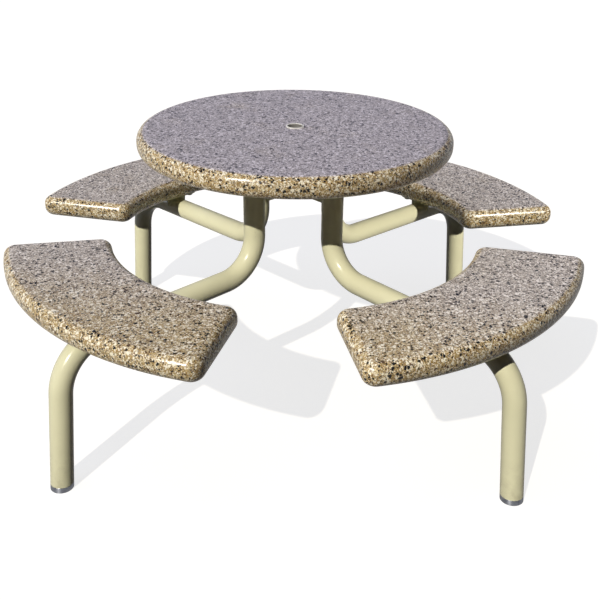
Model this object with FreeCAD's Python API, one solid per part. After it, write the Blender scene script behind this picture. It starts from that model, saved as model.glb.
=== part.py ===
import FreeCAD, Part
import math
import os

# A round concrete table with four curved concrete seats, carried by four bent steel tubes.
# Origin: on the floor, on the table's axis. +Z is up, and the front of the set faces -Y.
# Lengths are in millimetres, angles in degrees.

# Table slab
table_diameter = 828.0
table_height = 762.0
table_thickness = 56.0
table_edge_radius = 24.0

# Seat slabs
seat_height = 485.0
seat_thickness = 58.0
seat_outer_radius = 775.0
seat_depth = 277.0
seat_half_angle = 32.6
seat_corner_radius = 32.0
seat_edge_radius = 25.0

# Umbrella sleeve in the middle of the table
umbrella_bore = 39.5
sleeve_wall = 2.0
sleeve_flange_width = 2.2
sleeve_flange_thickness = 4.0
sleeve_rise = 2.0
sleeve_lip_radius = 1.0

# Bent tubes: upright under the table, run under the seat, leg to the floor
tube_diameter = 57.0
tube_wall = 3.5
upright_radius = 145.0
leg_inset = 34.0
inner_bend_radius = 107.0
outer_bend_radius = 133.0
run_slope = 1.5
leg_splay = 6.0

# Bare metal foot caps
foot_collar_height = 15.0
foot_spigot_length = 34.0
foot_spigot_clearance = 0.2
foot_floor_thickness = 5.0
foot_cup_wall = 4.0

# Plates on the tube tops, bolted under the table
table_plate_size = 120.0
table_plate_thickness = 8.0
table_plate_corner = 14.0
table_bolt_spacing = 88.0

# Plates and saddles between each run and its seat
seat_plate_rim_gap = 3.0
seat_plate_overhang = 22.0
seat_plate_width = 126.0
seat_plate_thickness = 8.0
seat_plate_corner = 14.0
seat_bolt_end_distance = 18.0
seat_bolt_spacing_wide = 96.0
saddle_rise = 10.7
saddle_end_distance = 28.0
saddle_bend_gap = 2.0
saddle_thickness = 8.0
saddle_width = 70.0
saddle_wrap = 20.0
saddle_toe_width = 66.0

# Brace bars and the ring that they meet at, below the table
brace_drop = 66.0
brace_height = 60.0
brace_thickness = 10.0
ring_wall = 6.0
weld_gap = 0.2

# Bolts, washers and the threaded inserts cast into the slabs
bolt_diameter = 10.0
bolt_head_across_flats = 17.0
bolt_head_height = 6.5
bolt_engagement = 18.0
bolt_hole_clearance = 0.5
washer_diameter = 20.0
washer_thickness = 2.0
insert_diameter = 16.0
insert_length = 30.0
insert_end_wall = 5.0
insert_groove_depth = 1.5
insert_groove_width = 8.0
insert_thread_clearance = 0.15

# Reinforcing bars cast into the slabs
bar_diameter = 8.0
bar_top_cover = 10.0
bar_edge_cover = 45.0
bar_plate_cover = 25.0
bar_overlap = 14.0
bar_tie_gap = 0.2
table_spokes = 8
seat_cross_bars = 5

# Positions of the four corners of the set
CORNERS = {
    "rear_right": 45.0,
    "rear_left": 135.0,
    "front_left": 225.0,
    "front_right": 315.0,
}

# Derived sizes and heights
UP = FreeCAD.Vector(0, 0, 1)
ORIGIN = FreeCAD.Vector(0, 0, 0)

table_radius = table_diameter / 2
table_underside = table_height - table_thickness
seat_underside = seat_height - seat_thickness
seat_inner_radius = seat_outer_radius - seat_depth

tube_radius = tube_diameter / 2
tube_inner_radius = tube_radius - tube_wall
leg_top = table_underside - table_plate_thickness
seat_plate_underside = seat_underside - seat_plate_thickness
slope = math.radians(run_slope)
splay = math.radians(leg_splay)

# The leg's corner follows the seat's outer edge. The seat plate starts behind the seat's inner rim
# and ends past the straight run, and both saddles stand on the straight run.
leg_corner_radius = seat_outer_radius - leg_inset
outer_turn = math.pi / 2 - splay - slope
run_end_radius = leg_corner_radius - outer_bend_radius * math.tan(outer_turn / 2) * math.cos(slope)
seat_plate_inner = seat_inner_radius + seat_edge_radius + seat_plate_rim_gap
seat_plate_outer = run_end_radius + seat_plate_overhang
seat_plate_length = seat_plate_outer - seat_plate_inner
seat_plate_middle = (seat_plate_inner + seat_plate_outer) / 2
seat_bolt_spacing_long = seat_plate_length - 2 * seat_bolt_end_distance
inner_saddle_radius = seat_plate_inner + saddle_end_distance
outer_saddle_radius = run_end_radius - saddle_bend_gap - saddle_thickness / 2

umbrella_radius = umbrella_bore / 2
sleeve_radius = umbrella_radius + sleeve_wall
flange_radius = sleeve_radius + sleeve_flange_width
ring_radius = umbrella_radius + ring_wall
brace_top = table_underside - brace_drop
brace_bottom = brace_top - brace_height

table_plate_reach = math.hypot(upright_radius + table_plate_size / 2, table_plate_size / 2)


def point(radius, height, across=0.0):
    """A point in the plane of a tube: distance from the table's axis, height and sideways offset."""
    return FreeCAD.Vector(radius, across, height)


def at_corner(shape, azimuth):
    """A copy of a piece drawn along +X, turned about the table's axis to its corner."""
    copy = shape.copy()
    copy.rotate(ORIGIN, UP, azimuth)
    return copy


def upright_cylinder(radius, bottom, top, x=0.0, y=0.0):
    return Part.makeCylinder(radius, top - bottom, FreeCAD.Vector(x, y, bottom), UP)


def rounded_plate(length, width, thickness, corner, middle_radius, bottom):
    """A flat plate with rounded corners, centred on a tube's plane."""
    base = point(middle_radius - length / 2, bottom, -width / 2)
    plate = Part.makeBox(length, width, thickness, base)
    uprights = [edge for edge in plate.Edges if edge.BoundBox.ZLength > thickness / 2]
    return plate.makeFillet(corner, uprights)


def rectangle_places(middle_radius, long_spacing, wide_spacing):
    """The four bolt places of a plate, as plan points."""
    return [
        (middle_radius + long_side * long_spacing / 2, wide_side * wide_spacing / 2)
        for long_side in (-1, 1)
        for wide_side in (-1, 1)
    ]


table_bolt_places = rectangle_places(upright_radius, table_bolt_spacing, table_bolt_spacing)
seat_bolt_places = rectangle_places(seat_plate_middle, seat_bolt_spacing_long, seat_bolt_spacing_wide)


# Route of a tube's axis

def run_axis_height(radius):
    """Height of the run's axis: it slopes down outwards, below the middle of the seat plate."""
    crown = seat_plate_underside - saddle_rise
    at_plate = crown - tube_radius / math.cos(slope)
    return at_plate - (radius - seat_plate_middle) * math.tan(slope)


def tube_route():
    """The axis of one tube: straight runs joined by tangent arcs."""
    leg_corner_height = run_axis_height(leg_corner_radius)
    below_floor = -tube_diameter
    leg_end_radius = leg_corner_radius + (leg_corner_height - below_floor) * math.tan(splay)
    start = point(upright_radius, leg_top)
    inner_corner = point(upright_radius, run_axis_height(upright_radius))
    outer_corner = point(leg_corner_radius, leg_corner_height)
    end = point(leg_end_radius, below_floor)
    edges = []
    last = start
    bends = ((inner_corner, outer_corner, inner_bend_radius), (outer_corner, end, outer_bend_radius))
    for corner, onward, bend_radius in bends:
        back = (last - corner).normalize()
        ahead = (onward - corner).normalize()
        half_angle = back.getAngle(ahead) / 2
        reach = bend_radius / math.tan(half_angle)
        inward = (back + ahead).normalize()
        middle = corner + inward * (bend_radius / math.sin(half_angle) - bend_radius)
        enter = corner + back * reach
        leave = corner + ahead * reach
        edges.append(Part.makeLine(last, enter))
        edges.append(Part.Arc(enter, middle, leave).toShape())
        last = leave
    edges.append(Part.makeLine(last, end))
    return Part.Wire(edges)


def tube_body(radius):
    """A round bar along the tube's route."""
    circle = Part.Wire(Part.makeCircle(radius, point(upright_radius, leg_top), UP))
    return tube_route().makePipeShell([circle], True, False)


def space_below(height):
    """Everything under a level, wide enough for the whole set."""
    half = 2 * seat_outer_radius
    return Part.makeBox(2 * half, 2 * half, half, FreeCAD.Vector(-half, -half, height - half))


def leg_axis():
    """A point on the leg's axis at floor level, and the direction up the leg."""
    height = run_axis_height(leg_corner_radius)
    foot = point(leg_corner_radius + height * math.tan(splay), 0.0)
    return foot, FreeCAD.Vector(-math.sin(splay), 0, math.cos(splay))


# Steel pieces

def leg_tube():
    hollow = tube_body(tube_radius).cut(tube_body(tube_inner_radius))
    return hollow.cut(space_below(foot_collar_height))


def foot_cap():
    """A bare cup under a leg: a collar as wide as the tube, and a spigot that fits inside it."""
    foot, along = leg_axis()
    slack = tube_diameter
    start = foot - along * slack
    above_collar = space_below(foot_collar_height)
    collar = Part.makeCylinder(tube_radius, 2 * slack, start, along).common(above_collar)
    spigot_radius = tube_inner_radius - foot_spigot_clearance
    spigot = Part.makeCylinder(spigot_radius, slack + foot_collar_height + foot_spigot_length, start, along)
    cup_radius = spigot_radius - foot_cup_wall
    cup_start = foot + along * foot_floor_thickness
    cup = Part.makeCylinder(cup_radius, foot_collar_height + foot_spigot_length, cup_start, along)
    return collar.fuse(spigot).cut(cup).cut(space_below(0.0)).removeSplitter()


def drilled(plate, places, bottom, thickness):
    radius = bolt_diameter / 2 + bolt_hole_clearance
    for x, y in places:
        plate = plate.cut(upright_cylinder(radius, bottom, bottom + thickness, x, y))
    return plate


def table_plate():
    plate = rounded_plate(
        table_plate_size,
        table_plate_size,
        table_plate_thickness,
        table_plate_corner,
        upright_radius,
        leg_top,
    )
    return drilled(plate, table_bolt_places, leg_top, table_plate_thickness)


def seat_plate():
    plate = rounded_plate(
        seat_plate_length,
        seat_plate_width,
        seat_plate_thickness,
        seat_plate_corner,
        seat_plate_middle,
        seat_plate_underside,
    )
    return drilled(plate, seat_bolt_places, seat_plate_underside, seat_plate_thickness)


def saddle(middle):
    """An upright plate across the run, notched to sit on it and carry a seat plate."""
    crown = run_axis_height(middle) + tube_radius / math.cos(slope)
    face = middle - saddle_thickness / 2
    top_half = saddle_width / 2
    toe_half = saddle_toe_width / 2
    toe = crown - saddle_wrap
    outline = Part.makePolygon([
        point(face, seat_plate_underside, -top_half),
        point(face, seat_plate_underside, top_half),
        point(face, toe, toe_half),
        point(face, toe, -toe_half),
        point(face, seat_plate_underside, -top_half),
    ])
    plate = Part.Face(outline).extrude(FreeCAD.Vector(saddle_thickness, 0, 0))
    along = FreeCAD.Vector(math.cos(slope), 0, -math.sin(slope))
    start = point(middle, run_axis_height(middle)) - along * saddle_width
    return plate.cut(Part.makeCylinder(tube_radius + weld_gap, 2 * saddle_width, start, along))


def umbrella_ring():
    """The ring under the table that guides an umbrella pole and joins the brace bars."""
    outside = upright_cylinder(ring_radius, brace_bottom, brace_top)
    return outside.cut(upright_cylinder(umbrella_radius, brace_bottom, brace_top))


def brace_bar():
    """A flat bar on edge from the ring to an upright, its ends cut round to fit both."""
    base = point(0.0, brace_bottom, -brace_thickness / 2)
    bar = Part.makeBox(upright_radius, brace_thickness, brace_height, base)
    ring = upright_cylinder(ring_radius + weld_gap, brace_bottom, brace_top)
    upright = upright_cylinder(tube_radius + weld_gap, brace_bottom, brace_top, upright_radius)
    return bar.cut(ring).cut(upright)


def umbrella_sleeve():
    top = table_height + sleeve_rise
    shoulder = top - sleeve_flange_thickness
    barrel = upright_cylinder(sleeve_radius, table_underside, shoulder)
    flange = upright_cylinder(flange_radius, shoulder, top)
    rims = [edge for edge in flange.Edges if edge.BoundBox.ZMin > shoulder + sleeve_flange_thickness / 2]
    flange = flange.makeFillet(sleeve_lip_radius, rims)
    return barrel.fuse(flange).cut(upright_cylinder(umbrella_radius, table_underside, top)).removeSplitter()


# Fasteners, standing on the underside of a plate

def washer(x, y, plate_underside):
    bottom = plate_underside - washer_thickness
    outside = upright_cylinder(washer_diameter / 2, bottom, plate_underside, x, y)
    hole = bolt_diameter / 2 + bolt_hole_clearance
    return outside.cut(upright_cylinder(hole, bottom, plate_underside, x, y))


def bolt(x, y, plate_underside, plate_thickness):
    """A hexagon bolt, head down, through washer and plate into its insert."""
    seat = plate_underside - washer_thickness
    bottom = seat - bolt_head_height
    corner_radius = bolt_head_across_flats / 2 / math.cos(math.pi / 6)
    corners = [
        FreeCAD.Vector(
            x + corner_radius * math.cos(math.pi / 3 * side),
            y + corner_radius * math.sin(math.pi / 3 * side),
            bottom,
        )
        for side in range(7)
    ]
    head = Part.Face(Part.makePolygon(corners)).extrude(UP * bolt_head_height)
    spread = corner_radius + bolt_head_height * math.sqrt(3)
    chamfer = Part.makeCone(
        bolt_head_across_flats / 2, spread, bolt_head_height, FreeCAD.Vector(x, y, bottom), UP
    )
    top = plate_underside + plate_thickness + bolt_engagement
    shank = upright_cylinder(bolt_diameter / 2, seat, top, x, y)
    return head.common(chamfer).fuse(shank).removeSplitter()


def insert_blank(x, y, underside):
    """The outside of a threaded insert, with the groove that locks it in the concrete."""
    top = underside + insert_length
    body = upright_cylinder(insert_diameter / 2, underside, top, x, y)
    groove_bottom = underside + (insert_length - insert_groove_width) / 2
    groove_top = groove_bottom + insert_groove_width
    around = upright_cylinder(insert_diameter, groove_bottom, groove_top, x, y)
    waist = upright_cylinder(insert_diameter / 2 - insert_groove_depth, groove_bottom, groove_top, x, y)
    return body.cut(around.cut(waist))


def insert(x, y, underside):
    bore = bolt_diameter / 2 + insert_thread_clearance
    depth = underside + insert_length - insert_end_wall
    return insert_blank(x, y, underside).cut(upright_cylinder(bore, underside, depth, x, y))


# Reinforcing bars

def bar_arc(radius, height, half_angle):
    """A round bar bent about the table's axis, either side of +X, or a full hoop."""
    circle = Part.makeCircle(bar_diameter / 2, point(radius, height), FreeCAD.Vector(0, 1, 0))
    section = Part.Face(Part.Wire(circle))
    section.rotate(ORIGIN, UP, -half_angle)
    return section.revolve(ORIGIN, UP, 2 * half_angle)


def bar_spoke(inner_radius, outer_radius, height, angle):
    start = point(inner_radius, height)
    bar = Part.makeCylinder(bar_diameter / 2, outer_radius - inner_radius, start, FreeCAD.Vector(1, 0, 0))
    return at_corner(bar, angle)


def bar_heights(slab_top):
    """Heights of the bent bars, and of the straight bars tied under them."""
    bent = slab_top - bar_top_cover - bar_diameter / 2
    return bent, bent - bar_diameter - bar_tie_gap


def table_bars():
    bent, straight = bar_heights(table_height)
    inner = table_plate_reach + bar_plate_cover
    outer = table_radius - bar_edge_cover
    hoops = [bar_arc(radius, bent, 180.0) for radius in (inner, outer)]
    step = 360.0 / table_spokes
    spokes = [
        bar_spoke(inner - bar_overlap, outer + bar_overlap, straight, step * (count + 0.5))
        for count in range(table_spokes)
    ]
    return hoops + spokes


def seat_bars():
    """Bars of one seat, drawn along +X."""
    bent, straight = bar_heights(seat_height)
    inner = seat_inner_radius + bar_edge_cover
    outer = seat_outer_radius - bar_edge_cover
    margin = math.degrees(bar_edge_cover / seat_inner_radius)
    reach = seat_half_angle - margin
    arcs = [bar_arc(radius, bent, reach) for radius in (inner, outer)]
    first = -reach + math.degrees(bar_overlap / inner)
    step = -2 * first / (seat_cross_bars - 1)
    crosses = [
        bar_spoke(inner - bar_overlap, outer + bar_overlap, straight, first + step * count)
        for count in range(seat_cross_bars)
    ]
    return arcs + crosses


# Concrete slabs

def table_slab():
    """The round slab with its rounded rim and the stepped hole for the sleeve."""
    rim = table_radius - table_edge_radius
    sink = sleeve_flange_thickness - sleeve_rise
    diagonal = table_edge_radius * math.sqrt(0.5)
    low = table_underside + table_edge_radius
    high = table_height - table_edge_radius
    edges = [
        Part.makeLine(point(sleeve_radius, table_underside), point(rim, table_underside)),
        Part.Arc(
            point(rim, table_underside), point(rim + diagonal, low - diagonal), point(table_radius, low)
        ).toShape(),
        Part.makeLine(point(table_radius, low), point(table_radius, high)),
        Part.Arc(
            point(table_radius, high), point(rim + diagonal, high + diagonal), point(rim, table_height)
        ).toShape(),
        Part.makeLine(point(rim, table_height), point(flange_radius, table_height)),
        Part.makeLine(point(flange_radius, table_height), point(flange_radius, table_height - sink)),
        Part.makeLine(point(flange_radius, table_height - sink), point(sleeve_radius, table_height - sink)),
        Part.makeLine(point(sleeve_radius, table_height - sink), point(sleeve_radius, table_underside)),
    ]
    return Part.Face(Part.Wire(edges)).revolve(ORIGIN, UP, 360)


def seat_slab():
    """A curved slab with radial ends, rounded corners and rounded rims, drawn along +X."""
    half = math.radians(seat_half_angle)

    def plan(radius, angle):
        return FreeCAD.Vector(radius * math.cos(angle), radius * math.sin(angle), seat_underside)

    edges = [
        Part.Arc(
            plan(seat_outer_radius, -half), plan(seat_outer_radius, 0), plan(seat_outer_radius, half)
        ).toShape(),
        Part.makeLine(plan(seat_outer_radius, half), plan(seat_inner_radius, half)),
        Part.Arc(
            plan(seat_inner_radius, half), plan(seat_inner_radius, 0), plan(seat_inner_radius, -half)
        ).toShape(),
        Part.makeLine(plan(seat_inner_radius, -half), plan(seat_outer_radius, -half)),
    ]
    slab = Part.Face(Part.Wire(edges)).extrude(UP * seat_thickness)
    corners = [edge for edge in slab.Edges if edge.BoundBox.ZLength > seat_thickness / 2]
    slab = slab.makeFillet(seat_corner_radius, corners)
    rims = [edge for edge in slab.Edges if edge.BoundBox.ZLength < seat_thickness / 2]
    return slab.makeFillet(seat_edge_radius, rims)


# Assembly

def save(name, shape):
    shape.exportStep(f"parts/{name}.step")


def around(pieces):
    """Every piece of a corner, repeated at all four corners."""
    return [at_corner(piece, azimuth) for azimuth in CORNERS.values() for piece in pieces]


def group(pieces):
    return Part.makeCompound(pieces)


os.makedirs("parts", exist_ok=True)

table_inserts = around([insert(x, y, table_underside) for x, y in table_bolt_places])
table_cast_in = around([insert_blank(x, y, table_underside) for x, y in table_bolt_places]) + table_bars()
save("table_top", table_slab().cut(table_cast_in))
save("table_rebar", group(table_bars()))
save("table_inserts", group(table_inserts))
save("umbrella_sleeve", umbrella_sleeve())
save("umbrella_ring", umbrella_ring())

seat_cast_in = [insert_blank(x, y, seat_underside) for x, y in seat_bolt_places] + seat_bars()
corner_pieces = {
    "leg_tube": leg_tube(),
    "foot_cap": foot_cap(),
    "table_plate": table_plate(),
    "brace_bar": brace_bar(),
    "seat_plate": seat_plate(),
    "inner_saddle": saddle(inner_saddle_radius),
    "outer_saddle": saddle(outer_saddle_radius),
    "seat": seat_slab().cut(seat_cast_in),
    "seat_rebar": group(seat_bars()),
}
for piece_name, piece in corner_pieces.items():
    for corner_name, azimuth in CORNERS.items():
        save(f"{piece_name}_{corner_name}", at_corner(piece, azimuth))

save("seat_inserts", group(around([insert(x, y, seat_underside) for x, y in seat_bolt_places])))
save("table_washers", group(around([washer(x, y, leg_top) for x, y in table_bolt_places])))
save("seat_washers", group(around([washer(x, y, seat_plate_underside) for x, y in seat_bolt_places])))
save("table_bolts", group(around([
    bolt(x, y, leg_top, table_plate_thickness) for x, y in table_bolt_places
])))
save("seat_bolts", group(around([
    bolt(x, y, seat_plate_underside, seat_plate_thickness) for x, y in seat_bolt_places
])))
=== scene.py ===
import math
from functools import wraps

import bmesh
import bpy
from bpy.props import FloatProperty, FloatVectorProperty, IntProperty, PointerProperty
from mathutils import Matrix, Vector


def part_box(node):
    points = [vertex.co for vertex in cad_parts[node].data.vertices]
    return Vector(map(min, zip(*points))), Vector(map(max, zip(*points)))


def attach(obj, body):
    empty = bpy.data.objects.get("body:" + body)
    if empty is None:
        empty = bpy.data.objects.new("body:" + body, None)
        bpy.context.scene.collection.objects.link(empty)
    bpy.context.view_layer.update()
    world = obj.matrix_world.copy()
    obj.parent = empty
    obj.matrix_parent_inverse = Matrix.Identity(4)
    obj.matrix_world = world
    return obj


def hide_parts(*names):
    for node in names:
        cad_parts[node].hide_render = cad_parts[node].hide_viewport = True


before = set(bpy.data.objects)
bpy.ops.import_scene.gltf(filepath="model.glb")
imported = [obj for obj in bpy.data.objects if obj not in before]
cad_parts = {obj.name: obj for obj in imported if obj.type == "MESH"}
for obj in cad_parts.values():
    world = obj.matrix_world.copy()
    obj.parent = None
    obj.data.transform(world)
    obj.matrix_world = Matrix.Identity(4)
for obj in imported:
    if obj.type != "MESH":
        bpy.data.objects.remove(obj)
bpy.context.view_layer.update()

# A round table of polished aggregate concrete with four curved seats, on four bent and coated tubes.
# Metres, +Z up, with the origin on the floor under the middle of the table. The front faces -Y.

bl_info = {
    "name": "Concrete Table With Seats",
    "version": (1, 0, 0),
    "blender": (4, 5, 0),
    "location": "3D View > Sidebar > Table Set",
    "description": "Dresses a round concrete table, its four seats and its bent tube frame",
    "category": "Object",
}

BODY = "root"
CORNERS = {"rear_right": 45.0, "rear_left": 135.0, "front_left": 225.0, "front_right": 315.0}
CORNER = "rear_right"

# Heights and radii that the frame's boxes give
TABLE_LOW, TABLE_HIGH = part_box("table_top")
SEAT_LOW, SEAT_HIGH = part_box("seat_" + CORNER)
SLEEVE_LOW, SLEEVE_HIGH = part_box("umbrella_sleeve")
RING_LOW, RING_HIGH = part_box("umbrella_ring")
TUBE_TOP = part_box("leg_tube_" + CORNER)[1].z
SEAT_PLATE_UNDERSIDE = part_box("seat_plate_" + CORNER)[0].z


def corner_radius(node):
    """Distance of a node's middle from the table's axis."""
    low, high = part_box(node)
    return ((low + high) / 2).xy.length


SADDLE_RADII = [corner_radius(side + "_saddle_" + CORNER) for side in ("inner", "outer")]

# Where a slab's flat starts, in radii of its rim
RIM_SUPPORT = 1.12
# Broken edge of the recess round the sleeve
ARRIS = 0.0006

WHITE = (1.0, 1.0, 1.0, 1.0)
SENSOR_WIDTH = 36.0
LAMP_DISTANCE = 4.0
# Share of the floor's lift that shows in gloss
FLOOR_IN_GLOSS = 0.3


# Properties

def length(name, description, default):
    return FloatProperty(name=name, description=description, default=default, min=0.0, unit="LENGTH")


def angle(name, description, degrees):
    return FloatProperty(name=name, description=description, default=math.radians(degrees), unit="ROTATION")


def amount(name, description, default):
    return FloatProperty(name=name, description=description, default=default, subtype="FACTOR")


def number(name, description, default):
    return FloatProperty(name=name, description=description, default=default)


def linear(channel):
    """A screen value from 0 to 255 as scene light."""
    share = channel / 255
    return share / 12.92 if share <= 0.04045 else ((share + 0.055) / 1.055) ** 2.4


def colour(name, description, red, green, blue):
    return FloatVectorProperty(
        name=name,
        description=description,
        default=(linear(red), linear(green), linear(blue)),
        min=0.0,
        max=1.0,
        size=3,
        subtype="COLOR",
    )


class TableSetSizes(bpy.types.PropertyGroup):
    """Sizes of the visible pieces that the frame's boxes don't give"""

    table_edge: length("Table edge", "Radius of the table's rounded rim", 0.024)
    seat_inner_radius: length("Seat inner radius", "From the table's axis to a seat's inner edge", 0.498)
    seat_outer_radius: length("Seat outer radius", "From the table's axis to a seat's outer edge", 0.775)
    seat_half_angle: angle("Seat half angle", "Half the angle that a seat spans", 32.6)
    seat_corner: length("Seat corner", "Radius of a seat's corners in plan", 0.032)
    seat_edge: length("Seat edge", "Radius of a seat's rounded rims", 0.025)
    tube_radius: length("Tube radius", "Outside radius of the bent tubes", 0.0285)
    upright_radius: length("Upright radius", "From the table's axis to an upright's axis", 0.145)
    leg_corner_radius: length("Leg corner radius", "From the table's axis to the run's outer corner", 0.741)
    run_height: length("Run height", "Height of the run's axis at the upright", 0.39134)
    run_slope: angle("Run slope", "Fall of the run under a seat", 1.5)
    leg_splay: angle("Leg splay", "Lean of a leg away from the table", 6.0)
    inner_bend: length("Inner bend", "Radius of the bend under the table", 0.107)
    outer_bend: length("Outer bend", "Radius of the bend under a seat", 0.133)
    foot_collar: length("Foot collar", "Height of the bare band at a foot", 0.015)
    foot_bevel: length("Foot bevel", "Broken edge of the bare band", 0.0008)
    foot_spigot: length("Foot spigot", "Length of a foot cap inside its tube", 0.034)
    spigot_radius: length("Spigot radius", "Radius of a foot cap inside its tube", 0.0248)
    umbrella_bore: length("Umbrella bore", "Radius of the umbrella hole", 0.01975)
    sleeve_wall: length("Sleeve wall", "Wall of the sleeve in the umbrella hole", 0.002)
    sleeve_flange: length("Sleeve flange", "Thickness of the sleeve's flange", 0.004)
    sleeve_lip: length("Sleeve lip", "Rounded lip of the sleeve's flange", 0.001)
    ring_bevel: length("Ring bevel", "Broken edges of the ring under the table", 0.001)
    brace_thickness: length("Brace thickness", "Thickness of the brace bars", 0.010)
    saddle_thickness: length("Saddle thickness", "Thickness of the saddles under a seat plate", 0.008)
    saddle_width: length("Saddle width", "Width of a saddle at its plate", 0.070)
    saddle_wrap: length("Saddle wrap", "How far a saddle reaches down the run", 0.020)
    weld_bead: length("Weld bead", "Radius of a weld bead", 0.0026)
    weld_ripple: length("Weld ripple", "Distance between the ripples of a weld bead", 0.0028)
    round_steps: IntProperty(name="Round steps", description="Segments of a full circle", default=192)
    edge_steps: IntProperty(name="Edge steps", description="Segments of a rounded rim", default=12)


class TableSetColours(bpy.types.PropertyGroup):
    """Colours of the finishes"""

    cement: colour("Cement", "Cement between the chips", 165, 140, 92)
    chip_white: colour("White chips", "Whitest chips of the aggregate", 250, 243, 224)
    chip_cream: colour("Cream chips", "Pale chips", 229, 213, 174)
    chip_tan: colour("Tan chips", "Tan chips", 194, 168, 116)
    chip_ochre: colour("Ochre chips", "Golden brown chips", 164, 131, 74)
    chip_grey: colour("Grey chips", "Warm grey chips", 134, 126, 114)
    chip_brown: colour("Brown chips", "Dark brown chips", 86, 62, 40)
    chip_black: colour("Black chips", "Near black chips", 18, 17, 17)
    # Painted reflection of the sky on the flat tops of the table and the seats
    film: colour("Weather film", "Sky-tinted film on the table's flat top", 156, 151, 161)
    seat_film: colour("Seat film", "Thin dusty film on the seats' flat tops", 162, 157, 158)
    coat: colour("Cream coat", "Coating of the tubes", 232, 230, 196)
    grime: colour("Grime", "Dirt on the coating", 120, 108, 84)
    steel: colour("Bare steel", "Turned steel of the foot bands", 158, 162, 172)
    zinc: colour("Zinc", "Plated bolts and washers", 190, 192, 194)
    rust: colour("Rust", "Skin of the reinforcing bars", 104, 66, 42)
    plastic: colour("White plastic", "Sleeve in the umbrella hole", 232, 231, 228)
    # Colour that the sleeve takes inside the hole, below its rim
    stain: colour("Sleeve stain", "Dirt inside the umbrella hole", 116, 113, 110)


class TableSetStage(bpy.types.PropertyGroup):
    """Camera and lights"""

    camera_azimuth: angle("Camera azimuth", "Turn of the camera about the table", 1.5836)
    camera_pitch: angle("Camera pitch", "How far the camera looks down", 26.4902)
    camera_roll: angle("Camera roll", "Tilt of the camera about its view", 0.5392)
    camera_distance: length("Camera distance", "From the table's axis to the camera, in plan", 2.30032)
    camera_height: length("Camera height", "Height of the camera", 1.4238)
    lens: number("Lens", "Focal length in millimetres", 53.737)
    shift_x: number("Shift across", "Sideways shift of the picture", 0.01067)
    shift_y: number("Shift up", "Upward shift of the picture", -0.01454)
    sun_azimuth: angle("Key azimuth", "Turn of the key light from the front to the left", 25.0)
    sun_height: angle("Key height", "Angle of the key light above the floor", 37.5)
    sun_softness: angle("Key softness", "Angle that the key light spans", 0.6)
    sun_strength: number("Key strength", "Strength of the key light", 3.15)
    sun_colour: colour("Key colour", "Colour of the key light", 255, 249, 236)
    slab_azimuth: angle("Slab azimuth", "Turn of the slabs' light from the front to the left", 41.0)
    near_share: amount("Near share", "Light on the front right seat, to that on the other slabs", 1.14)
    rear_azimuth: angle("Rear azimuth", "Turn of the rear tubes' light from the front, outwards", 30.0)
    rear_height: angle("Rear height", "Angle of the rear tubes' light above the floor", 25.0)
    sky_lean: angle("Sky lean", "Turn of the brightest sky from overhead to the left", 30.0)
    sky_low: colour("Low sky", "Fill light from low down", 30, 29, 28)
    sky_high: colour("High sky", "Fill light from the brightest sky", 190, 196, 221)
    sky_back: colour("Sky behind", "Fill light from low down behind the table", 228, 228, 230)
    sky_gloss: colour("Reflected sky", "Sky that gloss shows above a white horizon", 116, 120, 142)
    sky_strength: number("Fill strength", "Strength of the fill light", 1.35)
    floor_size: length("Floor size", "Half the width of the floor", 40.0)
    floor_colour: colour("Floor colour", "Floor as the camera sees it", 165, 163, 160)
    floor_bounce: colour("Floor bounce", "Floor as it lights the object", 28, 26, 23)
    floor_lift: amount("Floor lift", "Light added to the floor for the camera", 0.77)


def sizes():
    return bpy.context.scene.table_set_sizes


def colours():
    return bpy.context.scene.table_set_colours


def stage_settings():
    return bpy.context.scene.table_set_stage


def opaque(rgb, share=1.0):
    """A colour as nodes take it, dimmed to a share of its light."""
    return (*[channel * share for channel in rgb], 1.0)


# Node trees

def socket_of(sockets, key):
    """A socket by its identifier, or else by its name or its place in the list."""
    for found in sockets:
        if found.identifier == key:
            return found
    return sockets[key]


def set_input(tree, socket, value):
    """Links a socket to another one, or gives it a value of its own."""
    if isinstance(value, bpy.types.NodeSocket):
        tree.links.new(value, socket)
    else:
        socket.default_value = value


def place(tree, kind, inputs=None, **settings):
    """Adds a node, with its settings and with values or links on its inputs."""
    node = tree.nodes.new(kind)
    for name, value in settings.items():
        setattr(node, name, value)
    for key, value in (inputs or {}).items():
        set_input(tree, socket_of(node.inputs, key), value)
    return node


def bare_tree(owner):
    """The emptied node tree of a material or a world."""
    owner.use_nodes = True
    owner.node_tree.nodes.clear()
    return owner.node_tree


def new_tree(name, kind, inputs, outputs):
    """A node group with named sockets, and the sockets of its entry."""
    tree = bpy.data.node_groups.new(name, kind)
    for way, sockets in (("INPUT", inputs), ("OUTPUT", outputs)):
        for label, value in sockets.items():
            tree.interface.new_socket(label, in_out=way, socket_type="NodeSocket" + value)
    return tree, tree.nodes.new("NodeGroupInput").outputs


def mix_colour(tree, share, first, second, blend="MIX"):
    inputs = {"Factor_Float": share, "A_Color": first, "B_Color": second}
    node = place(tree, "ShaderNodeMix", inputs, data_type="RGBA", blend_type=blend)
    return socket_of(node.outputs, "Result_Color")


def mix_shader(tree, share, first, second):
    return place(tree, "ShaderNodeMixShader", {0: share, 1: first.outputs[0], 2: second.outputs[0]})


# Each of these adds its node to the tree of its first socket

def math_node(operation, first, second=0.0, clamp=False):
    inputs = {0: first, 1: second}
    node = place(first.id_data, "ShaderNodeMath", inputs, operation=operation, use_clamp=clamp)
    return node.outputs[0]


def product(first, second):
    return math_node("MULTIPLY", first, second)


def vector_node(operation, first, second=(0.0, 0.0, 0.0)):
    inputs = {0: first, 1: second}
    return place(first.id_data, "ShaderNodeVectorMath", inputs, operation=operation).outputs


def split(vector):
    return place(vector.id_data, "ShaderNodeSeparateXYZ", {0: vector}).outputs


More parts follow.
